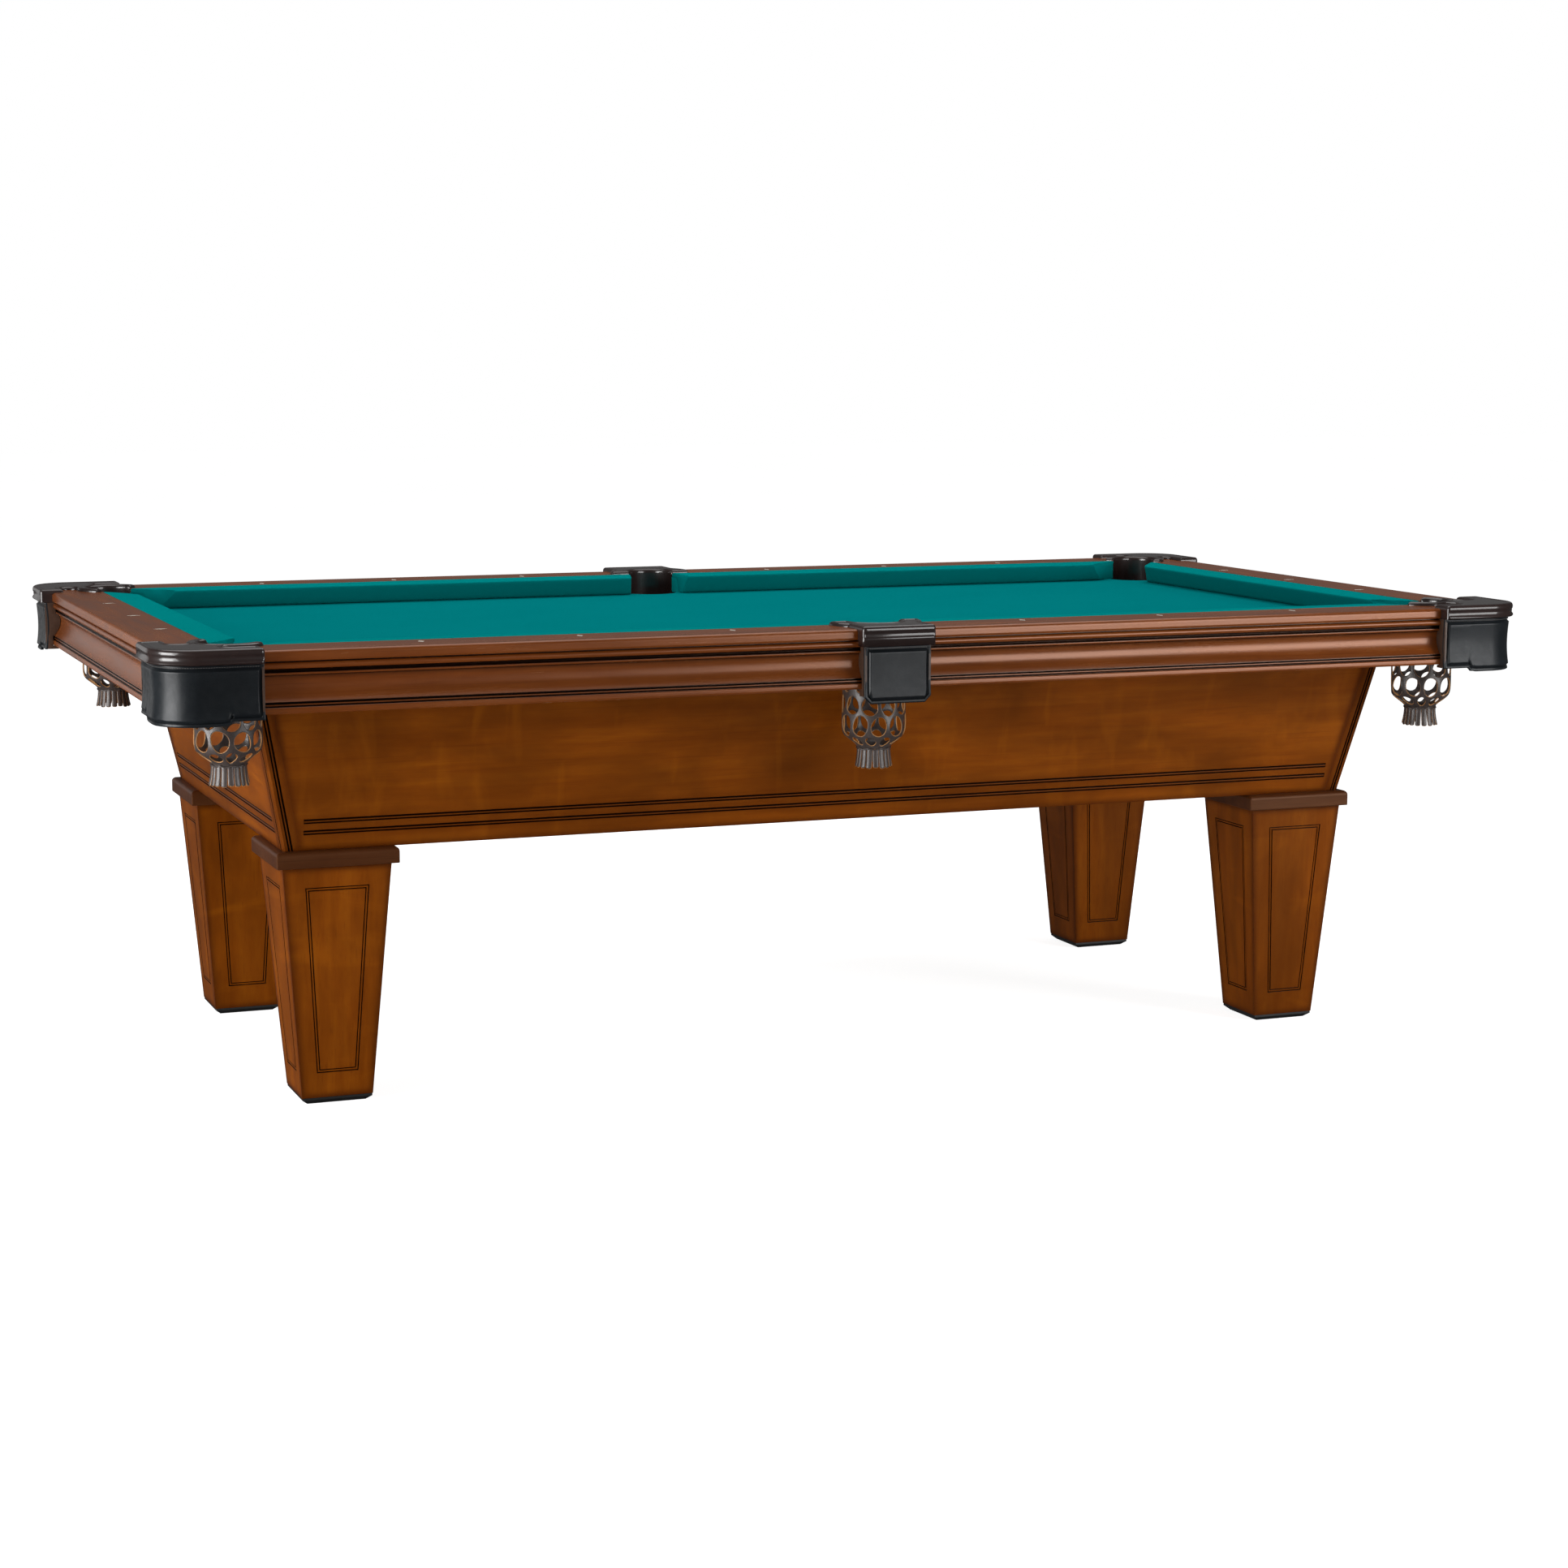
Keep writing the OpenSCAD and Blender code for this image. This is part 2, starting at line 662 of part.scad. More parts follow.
module foot_nut() color(steel) difference() {
    union() {
        translate([0, 0, leg_z]) cylinder(h = 18, r = 11);
        translate([0, 0, leg_z]) cylinder(h = 2, r = 17);
    }
    translate([0, 0, leg_z - 1]) cylinder(h = 20, r = nut_r);
}

module leg_bolt() color(steel) {
    head_z = cab_z + block_t;
    translate([0, 0, head_z - block_t - cap_t - 40]) cylinder(h = block_t + cap_t + 40.5, r = 5);
    translate([0, 0, head_z]) cylinder(h = 2.5, r = 12);
    translate([0, 0, head_z + 2]) cylinder(h = 7, r = 9.5, $fn = 6);
}

module rail_bolt() color(steel) {
    translate([0, 0, slate_z - 1]) cylinder(h = bed_z + 20 - slate_z, r = 4.8);
    translate([0, 0, slate_z - 2.5]) cylinder(h = 2.5, r = 14);
    translate([0, 0, slate_z - 8.5]) cylinder(h = 6.5, r = 9, $fn = 6);
}

module sights() color("#e8e2d2") {
    for (c = CORNERS) at_corner(c) translate([0, half_w, 0])
        sight_row(long_sights, rail_top - 1, 1.1);
    for (e = ENDS) at_corner(e) translate([half_l, 0, 0]) swap_xy()
        sight_row(end_sights, rail_top - 1, 1.1);
}

// ---- Nodes ----

for (c = CORNERS) {
    at_corner(c) rail_long();
    at_corner(c) skirt_long();
    at_corner(c) cushion_long();
    at_corner(c) corner_iron();
    at_corner(c) corner_shield();
    at_corner(c) corner_net();
    leg_places(c) leg();
    leg_places(c) foot();
}
for (e = ENDS) {
    at_corner(e) rail_end();
    at_corner(e) skirt_end();
    at_corner(e) cushion_end();
    at_corner(e) apron_end();
}
for (s = SIDES) {
    at_corner(s) side_iron();
    at_corner(s) side_shield();
    at_corner(s) side_net();
    at_corner(s) apron_long();
}
slate(0);  // slate_left
slate(1);  // slate_centre
slate(2);  // slate_right
bed_cloth();
slate_backing();
corner_posts();
frame_beams();
for (c = CORNERS) leg_places(c) leg_cap();  // leg_caps
for (c = CORNERS) leg_places(c) foot_nut();  // foot_nuts
sights();
rail_bolt_places() rail_bolt();  // rail_bolts
for (c = CORNERS) at_corner(c) leg_bolt_places() leg_bolt();  // leg_bolts
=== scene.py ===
import math
import bmesh
import bpy
from mathutils import Matrix, Vector, geometry, kdtree, noise


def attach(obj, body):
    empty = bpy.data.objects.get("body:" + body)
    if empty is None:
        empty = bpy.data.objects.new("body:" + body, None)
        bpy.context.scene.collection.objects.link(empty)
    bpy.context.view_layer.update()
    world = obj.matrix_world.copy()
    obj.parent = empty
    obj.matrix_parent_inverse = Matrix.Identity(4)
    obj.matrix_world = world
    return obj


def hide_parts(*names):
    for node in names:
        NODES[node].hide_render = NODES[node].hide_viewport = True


# Looks of an eight-foot pool table. Metres, +X along the table, +Y across it, +Z up.
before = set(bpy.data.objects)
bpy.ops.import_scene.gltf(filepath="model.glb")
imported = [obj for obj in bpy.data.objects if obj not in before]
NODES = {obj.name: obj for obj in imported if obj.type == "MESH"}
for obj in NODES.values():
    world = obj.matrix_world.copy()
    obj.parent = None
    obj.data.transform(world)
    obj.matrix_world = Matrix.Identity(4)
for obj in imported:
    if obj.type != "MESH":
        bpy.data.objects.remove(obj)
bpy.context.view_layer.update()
MM = 0.001
# half the playing area between the cushions' nose lines
HALF_L, HALF_W = 1.1175, 0.55875
# half mouths of the side and corner pockets along a nose line, in mm
SIDE_MOUTH, CORNER_MOUTH = 63.5, 83
# each pocket's signs for X and Y: a shape is drawn for the +X +Y quadrant and mirrored
CORNERS = {"front_left": (-1, -1), "front_right": (1, -1), "back_left": (-1, 1), "back_right": (1, 1)}
SIDES = {"front": (1, -1), "back": (1, 1)}
# the vector noise that shapes the nets draws its offsets from this seed
noise.seed_set(1)


# ---------------------------------------------------------------- materials

class Shader:
    """A node material being built: each method adds a node and returns its output socket."""

    def __init__(self, name):
        self.mat = bpy.data.materials.new(name)
        self.mat.use_nodes = True
        self.tree = self.mat.node_tree
        self.bsdf = self.tree.nodes["Principled BSDF"]

    def feed(self, socket, value):
        """Links a socket or sets a constant."""
        if isinstance(value, bpy.types.NodeSocket):
            self.tree.links.new(value, socket)
        else:
            socket.default_value = value

    def add(self, kind, inputs=(), **props):
        node = self.tree.nodes.new(kind)
        for prop, value in props.items():
            setattr(node, prop, value)
        for key, value in dict(inputs).items():
            self.feed(node.inputs[key], value)
        return node

    def place(self, scale=(1, 1, 1)):
        spot = self.add("ShaderNodeTexCoord").outputs["Object"]
        return self.add("ShaderNodeMapping", {"Vector": spot, "Scale": scale}).outputs[0]

    def noise(self, at, scale, detail=4, rough=0.5, bend=0.0):
        return self.add("ShaderNodeTexNoise", {"Vector": at, "Scale": scale, "Detail": detail,
                                               "Roughness": rough, "Distortion": bend}).outputs["Fac"]

    def ramp(self, fac, *stops):
        node = self.add("ShaderNodeValToRGB", {"Fac": fac})
        elements = node.color_ramp.elements
        while len(elements) < len(stops):
            elements.new(0.5)
        for element, (position, colour) in zip(elements, stops):
            element.position = position
            element.color = (*colour, 1)
        return node.outputs["Color"]

    def span(self, fac, a, b, lo=0.0, hi=1.0):
        return self.add("ShaderNodeMapRange", {"Value": fac, "From Min": a, "From Max": b,
                        "To Min": lo, "To Max": hi}).outputs[0]

    def math(self, op, a, b):
        return self.add("ShaderNodeMath", {0: a, 1: b}, operation=op).outputs[0]

    def mix(self, fac, a, b):
        """Mixes two colours; sockets 6 and 7 are the Mix node's colour inputs and output 2 its colour."""
        node = self.add("ShaderNodeMix", data_type="RGBA")
        self.feed(node.inputs[0], fac)
        for key, colour in ((6, a), (7, b)):
            self.feed(node.inputs[key], (*colour, 1) if isinstance(colour, tuple) else colour)
        return node.outputs[2]

    def bump(self, height, strength, depth, normal=None):
        node = self.add("ShaderNodeBump", {"Height": height, "Strength": strength, "Distance": depth})
        if normal is not None:
            self.tree.links.new(normal, node.inputs["Normal"])
        return node.outputs[0]

    def out(self, **sockets):
        for key, value in sockets.items():
            self.feed(self.bsdf.inputs[key.replace("_", " ")], value)
        return self.mat


def shaded(colour, share):
    return tuple(c * share for c in colour)


def wood(name, grain, dark, mid, light, edge, rough, edge_r, edge_mix, figure, spec, tint=(1, 0.62, 0.40)):
    """Stained, lacquered maple: grain along one axis, cloudy figure, dark stain at edges, and painted shade
    in the grooves that also stands for stain gathered there.
    """
    s = Shader(name)

    def stretched(along, across):
        return s.place([along if axis == grain else across for axis in "xyz"])
    fine = s.noise(stretched(1.1, 13.0), 3.0, 9, 0.62, 0.35)
    pores = s.noise(stretched(5.0, 420.0), 1.0, 3, 0.5)
    cloud = s.noise(stretched(1.0, 2.2), 3.6, 4, 0.55, 0.4)
    flame = s.noise(stretched(7.0, 2.0), 2.5, 3, 0.5, 0.9)
    col = s.ramp(fine, (0.18, dark), (0.50, mid), (0.84, light))
    col = s.mix(s.span(cloud, 0.35, 0.7, figure, 0.0), col, shaded(mid, 0.45))
    col = s.mix(s.span(flame, 0.55, 0.75, 0.0, 0.35 * figure), col, light)
    col = s.mix(s.span(pores, 0.60, 0.72, 0.0, 0.30), col, shaded(dark, 0.55))

    # stain left at the edges: the rounded normal differs from the face's own there
    round_n = s.add("ShaderNodeBevel", {"Radius": edge_r}, samples=6).outputs[0]
    face_n = s.add("ShaderNodeNewGeometry").outputs["Normal"]
    dot = s.add("ShaderNodeVectorMath", {0: round_n, 1: face_n}, operation="DOT_PRODUCT")
    same = dot.outputs["Value"]
    worn = s.math("MULTIPLY", s.span(same, 0.995, 0.86, 0.0, edge_mix), s.span(cloud, 0.3, 0.7, 0.75, 1.15))
    col = s.mix(worn, col, edge)

    # painted shade in the grooves and other recesses, found by ambient occlusion; it also stands for stain
    # gathered in the grooves
    groove_shade = s.add("ShaderNodeAmbientOcclusion", {"Distance": 0.010}, samples=16, only_local=True).outputs["AO"]
    col = s.mix(s.span(groove_shade, 0.80, 0.98, 1.0, 0.0), col, shaded(edge, 0.15))
    soft = s.add("ShaderNodeBevel", {"Radius": 0.0012}, samples=4).outputs[0]
    normal = s.bump(fine, 0.10, 0.0006, s.bump(pores, 0.12, 0.0002, soft))
    return s.out(Base_Color=col, Roughness=s.span(fine, 0.3, 0.7, rough - 0.04, rough + 0.05),
                 Normal=normal, Specular_IOR_Level=spec, Specular_Tint=(*tint, 1))


def cloth(name, base):
    """Close-woven wool cloth with a faint nap."""
    s = Shader(name)

    def threads(axis):
        inputs = {"Vector": s.place(), "Scale": 320.0, "Distortion": 1.2, "Detail": 1.0}
        return s.add("ShaderNodeTexWave", inputs, bands_direction=axis).outputs["Fac"]
    weave = s.math("MULTIPLY", threads("X"), threads("Y"))
    fuzz = s.noise(s.place(), 900.0, 3, 0.7)
    nap = s.noise(s.place((1, 1.6, 1)), 3.0, 3, 0.5, 0.3)
    col = s.mix(s.span(fuzz, 0.3, 0.7, 0.0, 0.22), base, shaded(base, 0.62))
    col = s.mix(s.span(nap, 0.3, 0.7, 0.0, 0.10), col, tuple(c * 1.35 + 0.004 for c in base))
    height = s.math("ADD", s.math("MULTIPLY", weave, 0.5), fuzz)
    return s.out(Base_Color=col, Roughness=0.95, Specular_IOR_Level=0.0,
                 Normal=s.bump(height, 0.35, 0.0005))


def leather(name, base, lit, rough, spec, coat, grain, deep):
    """Moulded leather: small pebbled grain with painted shade in its creases, and a slight colour drift."""
    s = Shader(name)
    cells = s.add("ShaderNodeTexVoronoi", {"Vector": s.place(), "Scale": grain}, feature="DISTANCE_TO_EDGE")
    cell = cells.outputs[0]
    crease = s.noise(s.place(), 90.0, 5, 0.6, 0.8)
    drift = s.noise(s.place(), 14.0, 3, 0.5)
    col = s.mix(s.span(drift, 0.3, 0.7), base, lit)
    # painted shade: the grain's creases, where the bump sinks, are darkened
    col = s.mix(s.span(cell, 0.0, 0.12, 0.45, 0.0), col, shaded(base, 0.4))
    height = s.math("ADD", s.span(cell, 0.0, 0.2), crease)
    return s.out(Base_Color=col, Roughness=s.span(crease, 0.3, 0.7, rough - 0.06, rough + 0.1),
                 Specular_IOR_Level=spec, Normal=s.bump(height, deep, 0.0003),
                 Coat_Weight=coat, Coat_Roughness=0.12)


def plain(name, base, rough, metal=0.0, scale=60.0, deep=0.1, stretch=(1, 1, 1), drift=0.25):
    """An even material with a little mottling: slate, metal, thread, pearl."""
    s = Shader(name)
    big = s.noise(s.place(stretch), scale, 6, 0.6)
    small = s.noise(s.place(stretch), scale * 9, 3, 0.6)
    col = s.mix(s.span(big, 0.3, 0.7, 0.0, drift), base, shaded(base, 0.5))
    return s.out(Base_Color=col, Metallic=metal, Specular_IOR_Level=0.5,
                 Roughness=s.span(small, 0.3, 0.7, rough - 0.05, rough + 0.08),
                 Normal=s.bump(s.math("ADD", big, small), deep, 0.0004))


# stain colours and gloss of the three finishes
RED = dict(dark=(0.130, 0.028, 0.003), mid=(0.205, 0.050, 0.007), light=(0.270, 0.075, 0.011),
           edge=(0.045, 0.011, 0.003), figure=0.35, rough=0.25, edge_r=0.006, edge_mix=0.35,
           spec=0.62, tint=(1, 0.66, 0.52))
HONEY = dict(dark=(0.165, 0.033, 0.001), mid=(0.255, 0.060, 0.002), light=(0.350, 0.094, 0.003),
             edge=(0.055, 0.010, 0.001), figure=0.75, rough=0.36, edge_r=0.026, edge_mix=0.9, spec=0.12)
CAP = dict(dark=(0.050, 0.014, 0.004), mid=(0.076, 0.022, 0.006), light=(0.105, 0.036, 0.012),
           edge=(0.15, 0.08, 0.05), figure=0.3, rough=0.38, edge_r=0.0025, edge_mix=0.3, spec=0.20)
SAWN = dict(dark=(0.42, 0.28, 0.14), mid=(0.55, 0.39, 0.21), light=(0.66, 0.50, 0.30),
            edge=(0.4, 0.27, 0.14), figure=0.2, rough=0.7, edge_r=0.003, edge_mix=0.2, spec=0.2)
MATERIALS = {
    "rail_x": wood("rail wood, grain along", "x", **RED),
    "rail_y": wood("rail wood, grain across", "y", **RED),
    "cab_x": wood("cabinet wood, grain along", "x", **HONEY),
    "cab_y": wood("cabinet wood, grain across", "y", **HONEY),
    "cab_z": wood("cabinet wood, grain upright", "z", **HONEY),
    "cap": wood("cap wood", "x", **CAP),
    "raw": wood("sawn softwood", "x", **SAWN),
    "bed": cloth("bed cloth", (0.000, 0.190, 0.200)),
    # lit copy of the bed cloth: the cushion cloth is the same cloth painted a little paler, for the light on
    # the cushion tops
    "cushion": cloth("cushion cloth", (0.000, 0.215, 0.215)),
    "iron": leather("pocket leather", (0.014, 0.006, 0.005), (0.024, 0.010, 0.008),
                    rough=0.48, spec=0.2, coat=0.9, grain=600.0, deep=0.02),
    "shield": leather("shield leather", (0.007, 0.009, 0.011), (0.014, 0.017, 0.020),
                      rough=0.34, spec=0.17, coat=0.03, grain=420.0, deep=0.08),
    "web": leather("shield lining leather", (0.040, 0.017, 0.008), (0.075, 0.033, 0.015),
                   rough=0.5, spec=0.4, coat=0.1, grain=320.0, deep=0.3),
    "net": leather("net leather", (0.040, 0.028, 0.024), (0.080, 0.062, 0.056),
                   rough=0.40, spec=0.4, coat=0.1, grain=300.0, deep=0.20),
    "cut": leather("cut leather edge", (0.40, 0.18, 0.055), (0.55, 0.28, 0.10),
                   rough=0.60, spec=0.3, coat=0.0, grain=500.0, deep=0.20),
    "thread": plain("waxed thread", (0.09, 0.085, 0.08), 0.6, scale=500.0, deep=0.4),
    "slate": plain("honed slate", (0.10, 0.11, 0.12), 0.55, scale=24.0, deep=0.25, stretch=(1, 1, 6)),
    "foot": plain("black foot pad", (0.006, 0.006, 0.006), 0.45, scale=140.0, deep=0.2),
    "pearl": plain("pearl inlay", (0.78, 0.74, 0.64), 0.22, scale=70.0, deep=0.05, drift=0.3),
    "steel": plain("zinc-plated steel", (0.55, 0.55, 0.57), 0.34, metal=1.0, scale=200.0, deep=0.15),
}


def paint(obj, material):
    obj.data.materials.clear()
    obj.data.materials.append(material)


def skin(obj, key, slot, *replaced):
    """Gives a built piece its material and body, and hides the CAD nodes it stands for; its slot argument is
    not used.
    """
    paint(obj, MATERIALS[key])
    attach(obj, "table")
    if replaced:
        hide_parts(*replaced)


def linked(name, mesh):
    obj = bpy.data.objects.new(name, mesh)
    bpy.context.scene.collection.objects.link(obj)
    return obj


def smooth(mesh, angle):
    """Shades a mesh smooth, but for the edges sharper than the angle in degrees."""
    mesh.polygons.foreach_set("use_smooth", [True] * len(mesh.polygons))
    mesh.set_sharp_from_angle(angle=math.radians(angle))


def piece(name, verts, faces, angle):
    mesh = bpy.data.meshes.new(name)
    mesh.from_pydata(verts, [], faces)
    bm = bmesh.new()
    bm.from_mesh(mesh)
    bmesh.ops.remove_doubles(bm, verts=bm.verts, dist=1e-6)
    bmesh.ops.recalc_face_normals(bm, faces=bm.faces)
    bm.to_mesh(mesh)
    bm.free()
    smooth(mesh, angle)
    return linked(name, mesh)


def placed(points, spot, origin):
    """Turns (u, v, z) in millimetres from an origin in the +X +Y quadrant into the table's frame."""
    sx, sy = spot
    return [(sx * (origin[0] + u * MM), sy * (origin[1] + v * MM), z * MM) for u, v, z in points]


def grid_faces(rows, cols, close=False, start=0):
    """Faces between the rows of a grid; a closed grid joins each row's last point to its first."""
    out = []
    for i in range(rows - 1):
        for j in range(cols if close else cols - 1):
            k = (j + 1) % cols
            corners = (i * cols + j, i * cols + k, (i + 1) * cols + k, (i + 1) * cols + j)
            out.append(tuple(start + corner for corner in corners))
    return out


def slab_faces(rows, cols):
    """Faces of a closed slab: a front grid, a back grid of the same size, and strips round the edge."""
    back = rows * cols
    faces = grid_faces(rows, cols)
    faces += [face[::-1] for face in grid_faces(rows, cols, start=back)]
    for i in range(rows - 1):
        for j in (0, cols - 1):
            here, there = i * cols + j, (i + 1) * cols + j
            faces.append((here, there, back + there, back + here))
    for j in range(cols - 1):
        for i in (0, rows - 1):
            here, there = i * cols + j, i * cols + j + 1
            faces.append((here, there, back + there, back + here))
    return faces


# ---------------------------------------------------------------- carried-over CAD nodes

def finish_node(obj, key, bevel=0.0):
    paint(obj, MATERIALS[key])
    if bevel:
        weld = obj.modifiers.new("weld", "WELD")
        weld.merge_threshold = 2e-6
        soften = obj.modifiers.new("bevel", "BEVEL")
        soften.width = bevel
        soften.segments = 2
        soften.limit_method = "ANGLE"
        soften.angle_limit = math.radians(50)


def cover_jaws(obj, end_rail):
    """Cloth on the rail's own faces beside and behind the cushion, except those that look down."""
    joint_line = 61.9 * MM
    obj.data.materials.append(MATERIALS["cushion"])
    for face in obj.data.polygons:
        at = obj.matrix_world @ face.center
        out = abs(at.x) - HALF_L if end_rail else abs(at.y) - HALF_W
        if out < joint_line and face.normal.z > -0.9:
            face.material_index = 1


for name, obj in NODES.items():
    if name.startswith(("rail_", "skirt_")) and name != "rail_bolts":
        end_rail = name.count("_") == 1
        finish_node(obj, "rail_y" if end_rail else "rail_x")
        if name.startswith("rail_"):
            cover_jaws(obj, end_rail)
    elif name in ("apron_front", "apron_back"):
        finish_node(obj, "cab_x")
    elif name in ("apron_left", "apron_right"):
        finish_node(obj, "cab_y")
    elif name == "leg_caps":
        finish_node(obj, "cap", 0.0015)
    elif name in ("foot_nuts", "rail_bolts", "leg_bolts"):
        finish_node(obj, "steel")
    elif name.startswith(("corner_posts", "leg_")):
        finish_node(obj, "cab_z")
    elif name in ("slate_backing", "frame_beams"):
        finish_node(obj, "raw", 0.001)
    elif name.startswith("slate_"):
        finish_node(obj, "slate")
    elif name == "sights":
        finish_node(obj, "pearl")
    elif name.startswith("foot_"):
        finish_node(obj, "foot", 0.0012)
    elif name == "bed_cloth":
        finish_node(obj, "bed")


# ---------------------------------------------------------------- bed cloth and cushions

def bed_cloth():
    obj = linked("bed_cloth_stretched", NODES["bed_cloth"].data.copy())
    skin(obj, "bed", "bed_cloth", "bed_cloth")


# the cushion's section under its cloth: distance from the nose line, height
CUSHION_SECTION = [
    (24, 792.6), (33.2, 792.6), (44, 823.6), (60.6, 824), (61.6, 829.5), (60.7, 831.5), (58.5, 832.1),
    (50, 832.3), (38, 832.3), (26, 832.1), (14, 831.6), (6, 831.0), (2.4, 830.5), (0.9, 829.8),
    (0.2, 828.7), (0.3, 827.4), (2.0, 824.2), (5.2, 819.2), (12, 808.9), (18.5, 798.4), (21.4, 793.8)]
# how far the ends turn over, how much they draw in there, and the length of a step along the rail
END_TURN, END_TUCK, STEP = 3.6, 2.2, 14


def cushion(name, along_y, spot, start, end, cut_start, cut_end, seed):
    """Rubber cushion under cloth: a section swept along the rail, its ends cut to the pocket facings."""
    section = CUSHION_SECTION
    mid_v = sum(v for v, z in section) / len(section)
    mid_z = sum(z for v, z in section) / len(section)
    span = end - start
    n = max(24, int(span / STEP))
    turn = (0, 0.6, 1.8, END_TURN)
    steps = list(turn) + [END_TURN + (span - 2 * END_TURN) * i / n for i in range(1, n)]
    steps = sorted(steps + [span - e for e in turn])
    pts = []
    for e in steps:
        from_end = min(e, span - e)
        tuck = END_TUCK * (1 - math.sqrt(max(0.0, 1 - (1 - min(1, from_end / END_TURN)) ** 2)))
        for v, z in section:
            u0, u1 = start - cut_start * v, end + cut_end * v
            sag = 0.25 * noise.noise(Vector(((start + e) * 0.02 + seed[0], v * 0.04, seed[1])))
            r = math.hypot(v - mid_v, z - mid_z)
            drawn_v = v - (v - mid_v) / r * tuck
            drawn_z = z - (z - mid_z) / r * tuck + (sag if z > 820 else 0)
            pts.append((u0 + (u1 - u0) * (e / span), drawn_v, drawn_z))
    faces = grid_faces(len(steps), len(section), close=True)
    last = (len(steps) - 1) * len(section)
    faces += [tuple(range(len(section)))[::-1], tuple(last + k for k in range(len(section)))]
    if along_y:
        world = [(spot[0] * (HALF_L + v * MM), u * MM, z * MM) for u, v, z in pts]
    else:
        world = placed(pts, spot, (0, HALF_W))
    obj = piece("cushion_" + name + "_cloth", world, faces, 50)
    skin(obj, "cushion", "cushion_cloth", "cushion_" + name)


# run of the facings along the nose line for each step away from it, at the corner and the side pockets
CORNER_CUT, SIDE_CUT = 1 / math.tan(math.radians(38)), math.tan(math.radians(14))
bed_cloth()
for name, spot in CORNERS.items():
    cushion(name, False, spot, SIDE_MOUTH, HALF_L / MM - CORNER_MOUTH, SIDE_CUT, CORNER_CUT,
            (HALF_L * 7, (HALF_W + spot[0]) * 3))
for name, sx in (("left", -1), ("right", 1)):
    reach = HALF_W / MM - CORNER_MOUTH
    cushion(name, True, (sx, 1), -reach, reach, CORNER_CUT, CORNER_CUT, (HALF_W * 7, sx * 3))


# ---------------------------------------------------------------- pocket irons

# an iron's top rolls over at its rim: (distance inside the rim, rise above the rim), with a creased line
RIM_DROP = 6.5
ROLL = [(0, 0), (0.4, 1.9), (1.1, 3.6), (2.0, 4.8), (3.2, 5.7), (4.6, 6.3), (6.2, 6.5), (7.8, 6.1),
        (9.2, 5.2), (10.0, 4.8), (10.8, 5.3), (12.2, 5.7), (16, 5.8)]
# its outer band is waisted over a bead: (height, shift outwards)
BAND = [(813, -1.4), (813.5, -0.4), (815.5, 1.0), (818, 0.2), (820.5, -1.8), (827, -1.5), (829, -0.3),
        (832.5, 0)]
# centre of the round outer corner of a corner pocket's iron and shield, beyond both nose lines
CORNER_TURN = 104.0


def follow(profile, x):
    """Height of a profile, given as (place, height) points, at x."""
    for (a, ha), (b, hb) in zip(profile, profile[1:]):
        if x <= b:
            return ha + (hb - ha) * max(0.0, x - a) / (b - a)
    return profile[-1][1]


def edge_distance(ring):
    """A function that measures a point's distance to a closed outline of closely spaced points."""
    tree = kdtree.KDTree(len(ring))
    for i, p in enumerate(ring):
        tree.insert((p.x, p.y, 0), i)
    tree.balance()

    def measure(p):
        best = math.inf
        for _, i, _ in tree.find_n((p.x, p.y, 0), 3):
            for a, b in ((ring[i - 1], ring[i]), (ring[i], ring[(i + 1) % len(ring)])):
                t = min(1.0, max(0.0, (p - a).dot(b - a) / (b - a).length_squared))
                best = min(best, (p - a - (b - a) * t).length)
        return best
    return measure


def rolled_top(bm, top):
    """Replaces an iron's flat top by one that rolls over at every edge, with a crease inside the roll."""
    rim_step = 2.6
    for edge in list(top.edges):
        start = edge.verts[0]
        for left in range(int(edge.calc_length() / MM / rim_step), 1, -1):
            _, start = bmesh.utils.edge_split(edge, start, 1 / left)
    rim = list(top.verts)
    ring = [Vector((v.co.x, v.co.y)) / MM for v in rim]
    distance = edge_distance(ring)
    inside = []
    for a, b, c in zip(ring[-1:] + ring[:-1], ring, ring[1:] + ring[:1]):
        before, after = (b - a).normalized(), (c - b).normalized()
        turn = Vector((-before.y - after.y, before.x + after.x)).normalized()
        for d, _ in ROLL[1:]:
            for p in (b + turn * d, (b + c) / 2 + Vector((-after.y, after.x)) * d):
                if distance(p) > d - 0.03:
                    inside.append(p)
    n = len(rim)
    flat, _, tris, source, _, _ = geometry.delaunay_2d_cdt(ring + inside, [], [list(range(n))], 1, 1e-4)
    rim_z = rim[0].co.z - RIM_DROP * MM
    verts = []
    for p, came in zip(flat, source):
        if came and min(came) < n:
            verts.append(rim[min(came)])
        else:
            verts.append(bm.verts.new((p.x * MM, p.y * MM, rim_z + follow(ROLL, distance(p)) * MM)))
    bm.faces.remove(top)
    for v in rim:
        v.co.z = rim_z
    for tri in tris:
        bm.faces.new([verts[i] for i in tri])


def beyond(at, spot, corner):
    """How far a point is beyond the nose lines that meet at a pocket, in mm; a side pocket has only one."""
    return (spot[0] * at.x - HALF_L) / MM if corner else 0, (spot[1] * at.y - HALF_W) / MM


def round_ends(bm, spot, corner):
    """Rounds the iron's upright outer corners."""
    ends = []
    for edge in bm.edges:
        a, b = (v.co for v in edge.verts)
        upright = (a.xy - b.xy).length < 1e-6 and edge.calc_length() > 0.02
        square = edge.is_convex and edge.calc_face_angle(0) > 1.2
        if upright and square and max(beyond(a, spot, corner)) > 183:
            ends.append(edge)
    bmesh.ops.bevel(bm, geom=ends, offset=0.006, segments=5, profile=0.5, affect="EDGES")


